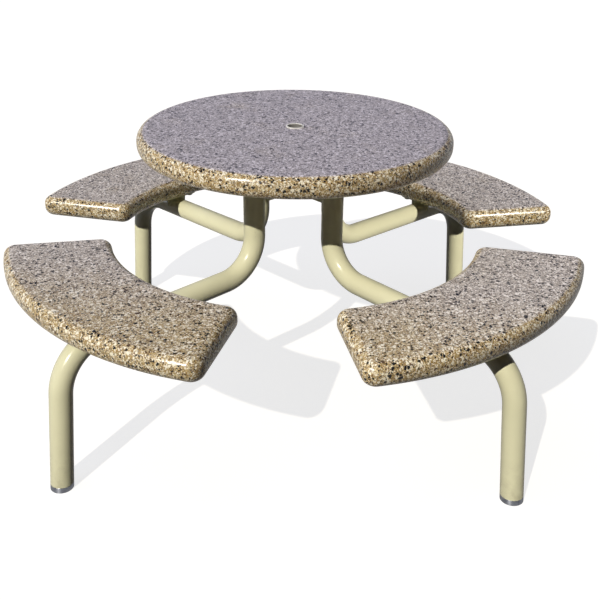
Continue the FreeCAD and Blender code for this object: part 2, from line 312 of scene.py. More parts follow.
def ramp(value, low, high, start=0.0, end=1.0):
    """A value mapped smoothly from low..high to start..end."""
    inputs = {"Value": value, "From Min": low, "From Max": high, "To Min": start, "To Max": end}
    node = place(value.id_data, "ShaderNodeMapRange", inputs, interpolation_type="SMOOTHSTEP")
    return node.outputs["Result"]


def noise(coordinates, scale, detail=2.0, roughness=0.5, output="Fac"):
    inputs = {"Vector": coordinates, "Scale": scale, "Detail": detail, "Roughness": roughness}
    return place(coordinates.id_data, "ShaderNodeTexNoise", inputs).outputs[output]


def bump(height, strength, distance):
    inputs = {"Height": height, "Strength": strength, "Distance": distance}
    return place(height.id_data, "ShaderNodeBump", inputs).outputs["Normal"]


# Effects shared by the finishes

def chip_group():
    """Stone chips: a mask of the chips, and a random tone for each."""
    found = bpy.data.node_groups.get("stone_chips")
    if found:
        return found
    inputs = {"Vector": "Vector", **dict.fromkeys(("Density", "Seed", "Share", "Joint"), "Float")}
    tree, entry = new_tree("stone_chips", "ShaderNodeTree", inputs, {"Chip": "Float", "Tone": "Float"})
    shifted = vector_node("ADD", entry["Vector"], entry["Seed"])["Vector"]
    spread = {"Vector": shifted, "Scale": entry["Density"]}
    cells = place(tree, "ShaderNodeTexVoronoi", spread)
    edges = place(tree, "ShaderNodeTexVoronoi", spread, feature="DISTANCE_TO_EDGE")
    tones = place(tree, "ShaderNodeSeparateColor", {"Color": cells.outputs["Color"]}).outputs
    held = math_node("LESS_THAN", tones["Green"], entry["Share"])
    softness = 0.05
    joint_end = math_node("ADD", entry["Joint"], softness)
    body = ramp(edges.outputs["Distance"], entry["Joint"], joint_end)
    place(tree, "NodeGroupOutput", {"Chip": product(held, body), "Tone": tones["Red"]})
    return tree


def patch_group():
    """Soft irregular patches, for the painted sky sheen, grime and scuffs."""
    found = bpy.data.node_groups.get("soft_patches")
    if found:
        return found
    inputs = {"Vector": "Vector", "Scale": "Float", "Low": "Float", "High": "Float"}
    tree, entry = new_tree("soft_patches", "ShaderNodeTree", inputs, {"Mask": "Float"})
    wide = noise(entry["Vector"], entry["Scale"], detail=6.0, roughness=0.62)
    place(tree, "NodeGroupOutput", {"Mask": ramp(wide, entry["Low"], entry["High"])})
    return tree


def patches(coordinates, scale, low, high):
    inputs = {"Vector": coordinates, "Scale": scale, "Low": low, "High": high}
    return place(coordinates.id_data, "ShaderNodeGroup", inputs, node_tree=patch_group()).outputs["Mask"]


def tone_colours(tone, starts):
    """A random tone turned into one of several chip colours, each from its own start onwards."""
    node = place(tone.id_data, "ShaderNodeValToRGB", {"Fac": tone})
    elements = node.color_ramp.elements
    node.color_ramp.interpolation = "CONSTANT"
    while len(elements) < len(starts):
        elements.new(0.5)
    for element, (name, start) in zip(elements, starts.items()):
        element.position = start
        element.color = opaque(getattr(colours(), "chip_" + name))
    return node.outputs["Color"]


def finish(describe):
    """Turns a function that gives a shader's inputs into one that gives the material, made once."""

    @wraps(describe)
    def material():
        found = bpy.data.materials.get(describe.__name__)
        if found:
            return found
        made = bpy.data.materials.new(describe.__name__)
        tree = bare_tree(made)
        coordinates = place(tree, "ShaderNodeTexCoord").outputs["Object"]
        shader = place(tree, "ShaderNodeBsdfPrincipled", describe(tree, coordinates))
        place(tree, "ShaderNodeOutputMaterial", {"Surface": shader.outputs["BSDF"]})
        return made

    return material


# Finishes

@finish
def polished_aggregate(tree, coordinates):
    """Concrete ground and sealed, with sand, pale chips and sparse dark chips in warm cement."""
    shades = colours()
    wobble = noise(coordinates, scale=210.0, output="Color")
    centred = vector_node("SUBTRACT", wobble, (0.5, 0.5, 0.5))["Vector"]
    reach = 0.0018
    shift = vector_node("MULTIPLY", centred, (reach, reach, reach))["Vector"]
    warped = vector_node("ADD", coordinates, shift)["Vector"]
    cloud = ramp(noise(warped, scale=30.0, detail=5.0), 0.3, 0.7)
    surface = mix_colour(tree, cloud, opaque(shades.cement, 0.82), opaque(shades.cement))

    # Tones from which each chip colour starts
    sand = dict(tan=0.0, cream=0.3, ochre=0.5, white=0.7, grey=0.8, brown=0.9, black=0.96)
    crushed = dict(white=0.0, cream=0.24, tan=0.46, ochre=0.66, grey=0.8, brown=0.89, black=0.965)
    specks = dict(white=0.0, cream=0.52, brown=0.64, black=0.71)
    bold = dict(black=0.0, brown=0.54, white=0.6)
    # Layers from fine to coarse: cells in a metre, seed, share of cells with a chip, joint, starts
    layers = (
        (560.0, 3.1, 0.74, 0.04, sand),
        (340.0, 7.7, 0.60, 0.04, crushed),
        (215.0, 1.9, 0.30, 0.06, specks),
        (130.0, 5.3, 0.20, 0.09, bold),
    )
    stone = None
    for density, seed, share, joint, starts in layers:
        inputs = {"Vector": warped, "Density": density, "Seed": seed, "Share": share, "Joint": joint}
        chips = place(tree, "ShaderNodeGroup", inputs, node_tree=chip_group()).outputs
        chip = chips["Chip"]
        surface = mix_colour(tree, chip, surface, tone_colours(chips["Tone"], starts))
        stone = chip if stone is None else math_node("MAXIMUM", stone, chip)
    veins = ramp(noise(coordinates, scale=620.0, detail=3.0), 0.25, 0.75)
    surface = mix_colour(tree, 0.18, surface, veins, "SOFT_LIGHT")

    # A painted reflection of the sky on flat tops, which takes the chips' colour: most on the table, least
    # on the front of the seats
    normal = place(tree, "ShaderNodeNewGeometry").outputs["Normal"]
    flat_top = ramp(split(normal)["Z"], 0.88, 0.995)
    rise = ramp(split(coordinates)["Z"], SEAT_HIGH.z, TABLE_LOW.z)
    film = mix_colour(tree, rise, opaque(shades.seat_film), opaque(shades.film))
    cover = product(flat_top, patches(coordinates, 9.0, -0.1, 0.5))
    # The painted sky reflection grows from the front of the seats towards the back
    backward = (0.15, 1.0, 0.0)
    back = vector_node("DOT_PRODUCT", coordinates, backward)["Value"]
    on_seats = ramp(back, -0.72, -0.3, 0.1, 0.72)
    on_table = product(rise, 0.85)
    sheen_tint = product(cover, math_node("MAXIMUM", on_seats, on_table))
    surface = mix_colour(tree, sheen_tint, surface, film, "COLOR")
    # A paler veil of the same painted sky reflection, most on the table
    sheen_veil = product(cover, ramp(rise, 0.0, 1.0, 0.0, 0.16))
    surface = mix_colour(tree, sheen_veil, surface, film)

    smooth = ramp(stone, 0.0, 1.0, 0.33, 0.26)
    wear = product(patches(coordinates, 22.0, 0.35, 0.7), 0.08)
    waves = product(noise(coordinates, scale=38.0), 1.2)
    relief = math_node("ADD", waves, stone)
    return {
        "Base Color": surface,
        "Roughness": math_node("ADD", smooth, wear),
        "Normal": bump(relief, strength=0.04, distance=0.0006),
        "Specular IOR Level": 0.4,
        "Coat Weight": 0.3,
        "Coat Roughness": 0.22,
    }


@finish
def cream_coat(tree, coordinates):
    """Cream powder coating with a faint orange peel, scuffs and dirt near the floor."""
    shades = colours()
    splash_height = 0.16
    low_down = ramp(split(coordinates)["Z"], 0.0, splash_height, 0.22, 0.0)
    splash = product(low_down, patches(coordinates, 46.0, 0.36, 0.66))
    dust = product(patches(coordinates, 13.0, 0.42, 0.8), 0.07)
    scuff = product(patches(coordinates, 95.0, 0.66, 0.74), 0.16)
    cloud = ramp(noise(coordinates, scale=6.0, detail=3.0), 0.3, 0.7)
    surface = mix_colour(tree, cloud, opaque(shades.coat, 0.95), opaque(shades.coat))
    dirt = math_node("ADD", math_node("ADD", splash, dust), scuff, clamp=True)
    peel = noise(coordinates, scale=520.0, detail=1.0)
    return {
        "Base Color": mix_colour(tree, dirt, surface, opaque(shades.grime)),
        "Roughness": ramp(dirt, 0.0, 0.4, 0.25, 0.5),
        "Normal": bump(peel, strength=0.08, distance=0.0005),
        "Specular IOR Level": 0.35,
    }


@finish
def turned_steel(tree, coordinates):
    """Bare steel with fine lathe lines and a little tarnish."""
    shade = colours().steel
    level_lines = {"Vector": coordinates, "Scale": (12.0, 12.0, 2400.0)}
    stretched = place(tree, "ShaderNodeMapping", level_lines).outputs["Vector"]
    tarnish = patches(coordinates, 60.0, 0.4, 0.7)
    return {
        "Base Color": mix_colour(tree, tarnish, opaque(shade), opaque(shade, 0.74)),
        "Metallic": 1.0,
        "Roughness": ramp(tarnish, 0.0, 1.0, 0.38, 0.5),
        "Normal": bump(noise(stretched, scale=1.0), strength=0.1, distance=0.0002),
        "Anisotropic": 0.85,
        "Anisotropic Rotation": 0.25,
        "Tangent": place(tree, "ShaderNodeTangent", direction_type="RADIAL", axis="Z").outputs[0],
    }


@finish
def plated_zinc(tree, coordinates):
    """Bright zinc plating with a faint mottle."""
    shade = colours().zinc
    cells = place(tree, "ShaderNodeTexVoronoi", {"Vector": coordinates, "Scale": 340.0}).outputs
    grain = place(tree, "ShaderNodeSeparateColor", {"Color": cells["Color"]}).outputs["Red"]
    return {
        "Base Color": mix_colour(tree, grain, opaque(shade, 0.8), opaque(shade)),
        "Metallic": 1.0,
        "Roughness": ramp(grain, 0.0, 1.0, 0.28, 0.44),
        "Normal": bump(noise(coordinates, scale=900.0), strength=0.08, distance=0.0002),
    }


@finish
def rusty_bar(tree, coordinates):
    """Mill scale and rust on the bars inside the slabs."""
    shade = colours().rust
    scale = patches(coordinates, 120.0, 0.35, 0.65)
    fine = noise(coordinates, scale=700.0, detail=4.0)
    return {
        "Base Color": mix_colour(tree, scale, opaque(shade), opaque(shade, 0.35)),
        "Metallic": 0.2,
        "Roughness": ramp(fine, 0.3, 0.7, 0.6, 0.9),
        "Normal": bump(fine, strength=0.4, distance=0.0004),
    }


@finish
def moulded_white(tree, coordinates):
    """White satin plastic, a little dulled by the weather and darker inside the hole, below the rim."""
    size = sizes()
    shade = colours().plastic
    dull = patches(coordinates, 90.0, 0.42, 0.72)
    surface = mix_colour(tree, dull, opaque(shade), opaque(shade, 0.86))
    spot = split(coordinates)
    # Darker inside the hole, from just below the rim down
    rim = SLEEVE_HIGH.z - size.sleeve_lip
    dark_depth = 0.0012
    low_down = ramp(spot["Z"], rim - dark_depth, rim, 0.92, 0.0)
    across = place(tree, "ShaderNodeCombineXYZ", {"X": spot["X"], "Y": spot["Y"]}).outputs[0]
    lip = size.umbrella_bore + size.sleeve_lip
    dark_edge = 0.0004
    near = ramp(vector_node("LENGTH", across)["Value"], lip - dark_edge, lip, 1.0, 0.0)
    inside = product(low_down, near)
    return {
        "Base Color": mix_colour(tree, inside, surface, opaque(colours().stain)),
        "Roughness": ramp(dull, 0.0, 1.0, 0.36, 0.55),
        "Normal": bump(noise(coordinates, scale=1500.0), strength=0.08, distance=0.0002),
    }


# Mesh helpers

def loft(name, rings, wrap=False):
    """A mesh of quads between rings of points, from the last ring to the first if wrapped, else capped."""
    form = bmesh.new()
    rows = [[form.verts.new(spot) for spot in ring] for ring in rings]
    pairs = list(zip(rows, rows[1:]))
    if wrap:
        pairs.append((rows[-1], rows[0]))
    for lower, upper in pairs:
        for here in range(len(lower)):
            onward = (here + 1) % len(lower)
            form.faces.new((lower[here], lower[onward], upper[onward], upper[here]))
    if not wrap:
        form.faces.new(list(reversed(rows[0])))
        form.faces.new(rows[-1])
    bmesh.ops.recalc_face_normals(form, faces=form.faces)
    mesh = bpy.data.meshes.new(name)
    form.to_mesh(mesh)
    form.free()
    return mesh


def add_object(name, data):
    made = bpy.data.objects.new(name, data)
    bpy.context.scene.collection.objects.link(made)
    return made


def give_material(mesh, material):
    mesh.materials.clear()
    mesh.materials.append(material)


def piece(name, mesh, material, slot, *nodes, crease=32.0):
    """Makes a finished piece: its shading, material and body, and the nodes that it stands for."""
    made = add_object(name, mesh)
    mesh.shade_smooth()
    mesh.set_sharp_from_angle(angle=math.radians(crease))
    give_material(mesh, material)
    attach(made, BODY)
    if nodes:
        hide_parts(*nodes)


def corner_pieces(stem, draw, material, slot, node):
    """A piece at each corner, drawn along +X and turned about the table's axis."""
    for corner, azimuth in CORNERS.items():
        name = stem + corner
        mesh = draw(name)
        mesh.transform(Matrix.Rotation(math.radians(azimuth), 4, "Z"))
        piece(name, mesh, material, slot, node + corner)


def finish_nodes(material, *names):
    """Gives carried-over pieces of the frame their finish."""
    for name in names:
        give_material(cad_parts[name].data, material)


def at_corners(*stems):
    return [stem + corner for stem in stems for corner in CORNERS]


def bearings(start, end, steps):
    """Angles from start to end, both included."""
    return [start + (end - start) * step / steps for step in range(steps + 1)]


def full_turn(steps):
    return bearings(0.0, 2 * math.pi, steps)[:-1]


def quarter_turn():
    return bearings(0.0, math.pi / 2, sizes().edge_steps)


def circle(radius, height):
    spots = full_turn(sizes().round_steps)
    return [Vector((radius * math.cos(a), radius * math.sin(a), height)) for a in spots]


def arc(middle, radius, start, end, steps):
    """Plan points along an arc, both ends included."""
    return [middle + Vector((math.cos(a), math.sin(a))) * radius for a in bearings(start, end, steps)]


def rounded_side(edge, low, high):
    """Insets and heights up a slab's side, from its flat underside round both rims to its flat top."""
    support = edge * RIM_SUPPORT
    lower = [(edge - edge * math.sin(a), low + edge - edge * math.cos(a)) for a in quarter_turn()]
    upper = [(edge - edge * math.cos(a), high - edge + edge * math.sin(a)) for a in quarter_turn()]
    return [(support, low)] + lower + upper + [(support, high)]


# Pieces

def build_table_slab():
    size = sizes()
    low, high, radius = TABLE_LOW.z, TABLE_HIGH.z, TABLE_HIGH.x
    hole = size.umbrella_bore + size.sleeve_wall
    recess = SLEEVE_HIGH.x
    step = SLEEVE_HIGH.z - size.sleeve_flange
    profile = [(hole, low)]
    profile += [(radius - inset, height) for inset, height in rounded_side(size.table_edge, low, high)]
    profile += [(recess + 4 * ARRIS, high), (recess + ARRIS, high), (recess, high - ARRIS)]
    profile += [(recess, step), (hole, step)]
    mesh = loft("table_slab", [circle(*level) for level in profile], wrap=True)
    piece("table_slab", mesh, polished_aggregate(), "terrazzo", "table_top")


def seat_outline(inset, height):
    """A seat's outline drawn along +X, moved inwards: two arcs, radial ends and rounded corners."""
    size = sizes()
    inner = size.seat_inner_radius
    outer = size.seat_outer_radius
    half = size.seat_half_angle
    corner = size.seat_corner
    steps = size.edge_steps
    outer_turn = half - math.asin(corner / (outer - corner))
    inner_turn = half - math.asin(corner / (inner + corner))
    end = half + math.pi / 2
    axis = Vector((0.0, 0.0))

    def rounded(distance, bearing, start, stop):
        middle = Vector((math.cos(bearing), math.sin(bearing))) * distance
        return arc(middle, corner - inset, start, stop, steps)

    outline = arc(axis, outer - inset, -outer_turn, outer_turn, 4 * steps)
    outline += rounded(outer - corner, outer_turn, outer_turn, end)[1:]
    outline += rounded(inner + corner, inner_turn, end, inner_turn + math.pi)
    outline += arc(axis, inner + inset, inner_turn, -inner_turn, 3 * steps)[1:]
    outline += rounded(inner + corner, -inner_turn, -inner_turn - math.pi, -end)[1:]
    outline += rounded(outer - corner, -outer_turn, -end, -outer_turn)[:-1]
    return [Vector((spot.x, spot.y, height)) for spot in outline]


def build_seat_slabs():
    side = rounded_side(sizes().seat_edge, SEAT_LOW.z, SEAT_HIGH.z)

    def draw(name):
        return loft(name, [seat_outline(*level) for level in side])

    corner_pieces("seat_slab_", draw, polished_aggregate(), "terrazzo", "seat_")


def by_index(tree, kind, values):
    """Gives each point of a path a value of its own."""
    switch = place(tree, "GeometryNodeIndexSwitch", data_type=kind)
    while len(switch.index_switch_items) < len(values):
        switch.index_switch_items.new()
    set_input(tree, switch.inputs["Index"], place(tree, "GeometryNodeInputIndex").outputs[0])
    for item, value in enumerate(values):
        set_input(tree, switch.inputs[str(item)], value)
    return switch.outputs["Output"]


def sweep(tree, path, radius, steps, material, **more):
    """Ends a geometry tree: a round section swept along a path, as real geometry with its material."""
    section = place(tree, "GeometryNodeCurvePrimitiveCircle", {"Resolution": steps, "Radius": radius})
    inputs = {"Curve": path, "Profile Curve": section.outputs["Curve"], "Fill Caps": True, **more}
    swept = place(tree, "GeometryNodeCurveToMesh", inputs)
    real = place(tree, "GeometryNodeRealizeInstances", {"Geometry": swept.outputs["Mesh"]})
    inputs = {"Geometry": real.outputs["Geometry"], "Material": material}
    painted = place(tree, "GeometryNodeSetMaterial", inputs)
    place(tree, "NodeGroupOutput", {"Geometry": painted.outputs["Geometry"]})


def tube_tree(material):
    """Geometry nodes that bend a tube: an upright, a sloping run and a leg, with rounded corners."""
    labels = ("Start", "Inner Corner", "Outer Corner", "End")
    inputs = {
        "Geometry": "Geometry",
        **dict.fromkeys(labels, "Vector"),
        **dict.fromkeys(("Inner Bend", "Outer Bend", "Tube Radius"), "Float"),
        **dict.fromkeys(("Bend Steps", "Round Steps"), "Int"),
    }
    tree, entry = new_tree("bent_tube", "GeometryNodeTree", inputs, {"Geometry": "Geometry"})
    stops = by_index(tree, "VECTOR", [entry[label] for label in labels])
    bends = by_index(tree, "FLOAT", [0.0, entry["Inner Bend"], entry["Outer Bend"], 0.0])
    line = place(tree, "GeometryNodeMeshLine", {"Count": len(labels)})
    route = place(tree, "GeometryNodeMeshToCurve", {"Mesh": line.outputs["Mesh"]})
    inputs = {"Geometry": route.outputs["Curve"], "Position": stops}
    routed = place(tree, "GeometryNodeSetPosition", inputs)
    inputs = {"Curve": routed.outputs["Geometry"], "Count": entry["Bend Steps"], "Radius": bends}
    bent = place(tree, "GeometryNodeFilletCurve", inputs, mode="POLY")
    sweep(tree, bent.outputs["Curve"], entry["Tube Radius"], entry["Round Steps"], material)
    return tree


def grown(name, tree, values, source):
    """The plain mesh that a geometry tree makes from source data, with its named inputs set."""
    holder = add_object(name + "_holder", source)
    modifier = holder.modifiers.new("grow", "NODES")
    modifier.node_group = tree
    sockets = {item.name: item.identifier for item in tree.interface.items_tree if item.in_out == "INPUT"}
    for label, value in values.items():
        modifier[sockets[label]] = value
    graph = bpy.context.evaluated_depsgraph_get()
    mesh = bpy.data.meshes.new_from_object(holder.evaluated_get(graph), depsgraph=graph)
    mesh.name = name
    bpy.data.objects.remove(holder)
    return mesh


def trim_below(mesh, height):
    """Cuts a mesh off level at a height, and closes the cut."""
    form = bmesh.new()
    form.from_mesh(mesh)
    bmesh.ops.remove_doubles(form, verts=form.verts, dist=1e-6)
    everything = form.verts[:] + form.edges[:] + form.faces[:]
    cut = bmesh.ops.bisect_plane(
        form, geom=everything, plane_co=(0, 0, height), plane_no=(0, 0, -1), clear_outer=True
    )
    rim = [part for part in cut["geom_cut"] if isinstance(part, bmesh.types.BMEdge)]
    bmesh.ops.contextual_create(form, geom=rim)
    bmesh.ops.recalc_face_normals(form, faces=form.faces)
    form.to_mesh(mesh)
    form.free()


def run_axis_height(radius):
    size = sizes()
    return size.run_height - (radius - size.upright_radius) * math.tan(size.run_slope)


def foot_radius(height):
    """Distance of a leg's axis from the table's axis at a height."""
    size = sizes()
    drop = run_axis_height(size.leg_corner_radius) - height
    return size.leg_corner_radius + drop * math.tan(size.leg_splay)


def build_tubes():
    size = sizes()
    tree = tube_tree(cream_coat())
    below = -2 * size.foot_collar
    values = {
        "Start": (size.upright_radius, 0.0, TUBE_TOP),
        "Inner Corner": (size.upright_radius, 0.0, run_axis_height(size.upright_radius)),
        "Outer Corner": (size.leg_corner_radius, 0.0, run_axis_height(size.leg_corner_radius)),
        "End": (foot_radius(below), 0.0, below),
        "Inner Bend": size.inner_bend,
        "Outer Bend": size.outer_bend,
        "Tube Radius": size.tube_radius,
        "Bend Steps": 28,
        "Round Steps": 56,
    }

    def draw(name):
        mesh = grown(name, tree, values, bpy.data.meshes.new(name + "_source"))
        trim_below(mesh, size.foot_collar)
        return mesh

    corner_pieces("bent_tube_", draw, cream_coat(), "coated_steel", "leg_tube_")


def slanted_ring(radius, height):
    """A level ring round a leg's axis."""
    size = sizes()
    middle = foot_radius(height)
    long_radius = radius / math.cos(size.leg_splay)
    spots = full_turn(size.round_steps // 3)
    return [Vector((middle + long_radius * math.cos(a), radius * math.sin(a), height)) for a in spots]


def build_foot_caps():
    size = sizes()
    outside = size.tube_radius
    bevel = size.foot_bevel
    collar = size.foot_collar
    levels = [
        (outside - bevel, 0.0),
        (outside, bevel),
        (outside, collar - bevel),
        (outside - bevel, collar),
        (size.spigot_radius, collar),
        (size.spigot_radius, collar + size.foot_spigot),
    ]

    def draw(name):
        return loft(name, [slanted_ring(*level) for level in levels])

    corner_pieces("foot_band_", draw, turned_steel(), "bare_steel", "foot_cap_")


def build_sleeve():
    size = sizes()
    bore = size.umbrella_bore
    wall = bore + size.sleeve_wall
    flange = SLEEVE_HIGH.x
    top = SLEEVE_HIGH.z
    lip = size.sleeve_lip
    step = top - size.sleeve_flange
    profile = [(bore, SLEEVE_LOW.z), (wall, SLEEVE_LOW.z), (wall, step), (flange, step)]
    profile += [(flange - lip + lip * math.cos(a), top - lip + lip * math.sin(a)) for a in quarter_turn()]
    profile += [(bore + lip - lip * math.sin(a), top - lip + lip * math.cos(a)) for a in quarter_turn()]
    mesh = loft("hole_sleeve", [circle(*level) for level in profile], wrap=True)
    piece("hole_sleeve", mesh, moulded_white(), "white_plastic", "umbrella_sleeve")


def build_pole_ring():
    size = sizes()
    bevel = size.ring_bevel
    inside, outside = size.umbrella_bore, RING_HIGH.x
    low, high = RING_LOW.z, RING_HIGH.z
    profile = [(inside + bevel, low), (outside - bevel, low), (outside, low + bevel)]
    profile += [(outside, high - bevel), (outside - bevel, high), (inside + bevel, high)]
    profile += [(inside, high - bevel), (inside, low + bevel)]
    mesh = loft("pole_ring", [circle(*level) for level in profile], wrap=True)
    piece("pole_ring", mesh, cream_coat(), "coated_steel", "umbrella_ring")


def weld_tree(material):
    """Geometry nodes that run a rippled weld bead along a curve."""
    inputs = {"Geometry": "Geometry", "Bead Radius": "Float", "Ripple": "Float"}
    tree, entry = new_tree("weld_bead", "GeometryNodeTree", inputs, {"Geometry": "Geometry"})
    samples_per_ripple = 4
    step = math_node("DIVIDE", entry["Ripple"], samples_per_ripple)
    inputs = {"Curve": entry["Geometry"], "Length": step}
    path = place(tree, "GeometryNodeResampleCurve", inputs, mode="LENGTH")
    travelled = place(tree, "GeometryNodeSplineParameter").outputs["Length"]
    phase = product(math_node("DIVIDE", travelled, entry["Ripple"]), math.pi)
    scallop = math_node("ABSOLUTE", math_node("SINE", phase))
    least, swell = 0.74, 0.28
    scale = math_node("ADD", product(scallop, swell), least)
    bead_sides = 8
    sweep(tree, path.outputs["Curve"], entry["Bead Radius"], bead_sides, material, Scale=scale)
    return tree


def seams():
    """Paths of the welds of one corner, drawn along +X, each with whether it closes on itself."""
    size = sizes()
    tube = size.tube_radius
    upright = size.upright_radius
    ring_steps, saddle_steps = 48, 16
    spots = full_turn(ring_steps)
    found = [([(upright + tube * math.cos(a), tube * math.sin(a), TUBE_TOP) for a in spots], True)]
    half_bar = size.brace_thickness / 2
    at_upright = upright - math.sqrt(tube ** 2 - half_bar ** 2)
    at_ring = math.sqrt(RING_HIGH.x ** 2 - half_bar ** 2)
    for side in (-half_bar, half_bar):
        for radius in (at_upright, at_ring):
            found.append(([(radius, side, RING_LOW.z), (radius, side, RING_HIGH.z)], False))
    wrap = math.acos(1 - size.saddle_wrap / tube)
    turns = bearings(-wrap, wrap, saddle_steps)
    ends = (-size.saddle_width / 2, size.saddle_width / 2)
    for radius in SADDLE_RADII:
        for face in (radius - size.saddle_thickness / 2, radius + size.saddle_thickness / 2):
            axis = run_axis_height(face)
            found.append(([(face, tube * math.sin(a), axis + tube * math.cos(a)) for a in turns], False))
            found.append(([(face, end, SEAT_PLATE_UNDERSIDE) for end in ends], False))
    return found


def build_welds():
    size = sizes()
    data = bpy.data.curves.new("weld_paths", "CURVE")
    data.dimensions = "3D"
    for azimuth in CORNERS.values():
        spin = Matrix.Rotation(math.radians(azimuth), 3, "Z")
        for path, closed in seams():
            spline = data.splines.new("POLY")
            spline.points.add(len(path) - 1)
            spline.use_cyclic_u = closed
            for control, spot in zip(spline.points, path):
                control.co = (*(spin @ Vector(spot)), 1.0)
    values = {"Bead Radius": size.weld_bead, "Ripple": size.weld_ripple}
    mesh = grown("weld_beads", weld_tree(cream_coat()), values, data)
    piece("weld_beads", mesh, cream_coat(), "coated_steel", crease=50.0)


def finish_hardware():
    brackets = ("table_plate_", "seat_plate_", "inner_saddle_", "outer_saddle_", "brace_bar_")
    finish_nodes(cream_coat(), *at_corners(*brackets))
    kinds = ("bolts", "washers", "inserts")
    finish_nodes(plated_zinc(), *[slab + kind for slab in ("table_", "seat_") for kind in kinds])
    finish_nodes(rusty_bar(), "table_rebar", *at_corners("seat_rebar_"))


# Stage

def build_camera():
    stage = stage_settings()
    turned = stage.camera_azimuth
    pitch = stage.camera_pitch
    ahead = Vector((
        -math.sin(turned) * math.cos(pitch),
        math.cos(turned) * math.cos(pitch),
        -math.sin(pitch),
    ))
    level = Vector((math.cos(turned), math.sin(turned), 0.0))
    upward = level.cross(ahead)
    roll = stage.camera_roll
    right = level * math.cos(roll) + upward * math.sin(roll)
    top = upward * math.cos(roll) - level * math.sin(roll)
    data = bpy.data.cameras.new("camera")
    data.sensor_width = SENSOR_WIDTH
    data.sensor_fit = "HORIZONTAL"
    data.lens = stage.lens
    data.shift_x = stage.shift_x
    data.shift_y = stage.shift_y
    camera = add_object("camera", data)
    place_in_plan = Vector((math.sin(turned), -math.cos(turned), 0.0)) * stage.camera_distance
    position = place_in_plan + Vector((0.0, 0.0, stage.camera_height))
    axes = Matrix((right, top, -ahead)).transposed()
    camera.matrix_world = Matrix.Translation(position) @ axes.to_4x4()
    bpy.context.scene.camera = camera


def linked(name, members, state="INCLUDE"):
    """A group of objects that a lamp lights, or leaves out."""
    group = bpy.data.collections.new(name)
    for member in members:
        group.objects.link(bpy.data.objects[member])
    for entry in group.collection_objects:
        entry.light_linking.link_state = state
    return group


def sun_lamp(name, azimuth, height, lights, share=1.0):
    """A parallel lamp for a linked group of objects."""
    stage = stage_settings()
    flat = math.cos(height)
    toward = Vector((-math.sin(azimuth) * flat, -math.cos(azimuth) * flat, math.sin(height)))
    data = bpy.data.lights.new(name, "SUN")
    data.energy = stage.sun_strength * share
    data.angle = stage.sun_softness
    data.color = stage.sun_colour
    lamp = add_object(name, data)
    lamp.location = toward * LAMP_DISTANCE
    lamp.rotation_mode = "QUATERNION"
    lamp.rotation_quaternion = (-toward).to_track_quat("-Z", "Y")
    lamp.light_linking.receiver_collection = lights


def build_key_lights():
    """The key light, more sidelong ones for the slabs, and lamps for the tubes in the table's shadow.

    The front right seat gets a larger share, and what holds the rear seats gets no lamp.
    """
    stage = stage_settings()
    high = stage.sun_height
    low = stage.rear_height
    slab = stage.slab_azimuth
    rear = stage.rear_azimuth
    lamps = {
        "slab": (slab, high, 1.0, ["table_slab", "seat_slab_front_left", "seat_slab_rear_left"]),
        "near_slab": (slab, high, stage.near_share, ["seat_slab_front_right"]),
        "far_slab": (-slab, high, 1.0, ["seat_slab_rear_right"]),
        "rear_left": (rear, low, 1.0, ["bent_tube_rear_left", "foot_band_rear_left"]),
        "rear_right": (-rear, low, 1.0, ["bent_tube_rear_right", "foot_band_rear_right"]),
    }
    holders = at_corners("seat_plate_", "inner_saddle_", "outer_saddle_")
    apart = [name for name in holders if "_rear_" in name]
    for *_, members in lamps.values():
        apart += members
    sun_lamp("key", stage.sun_azimuth, high, linked("key_lit", apart, "EXCLUDE"))
    for name, (azimuth, height, share, members) in lamps.items():
        sun_lamp(name + "_key", azimuth, height, linked(name + "_lit", members), share)


def shown_rays(rays):
    """One for the rays that show the background: to the camera, in gloss and through glass."""
    straight = math_node("MAXIMUM", rays["Is Camera Ray"], rays["Is Transmission Ray"])
    return math_node("MAXIMUM", straight, rays["Is Glossy Ray"])


def build_world():
    """A soft sky lights the object, with a low fill behind it, and the camera sees plain white."""
    stage = stage_settings()
    world = bpy.data.worlds.new("studio")
    tree = bare_tree(world)
    rays = place(tree, "ShaderNodeLightPath").outputs
    direction = place(tree, "ShaderNodeTexCoord").outputs["Generated"]
    along = split(direction)
    brightest = (-math.sin(stage.sky_lean), 0.0, math.cos(stage.sky_lean))
    toward = vector_node("DOT_PRODUCT", direction, brightest)["Value"]
    climb = ramp(toward, 0.72, 0.97)
    sky = mix_colour(tree, climb, opaque(stage.sky_low), opaque(stage.sky_high))
    behind = ramp(along["Y"], 0.6, 0.98)
    low_behind = product(behind, ramp(along["Z"], 0.1, 0.5, 1.0, 0.0))
    sky = mix_colour(tree, low_behind, sky, opaque(stage.sky_back))
    fill = place(tree, "ShaderNodeBackground", {"Color": sky, "Strength": stage.sky_strength})
    above = product(ramp(along["Z"], 0.0, 0.14), rays["Is Glossy Ray"])
    backdrop = mix_colour(tree, above, WHITE, opaque(stage.sky_gloss))
    shown = place(tree, "ShaderNodeBackground", {"Color": backdrop, "Strength": 1.0})
    both = mix_shader(tree, shown_rays(rays), fill, shown)
    place(tree, "ShaderNodeOutputWorld", {"Surface": both.outputs[0]})
    bpy.context.scene.world = world


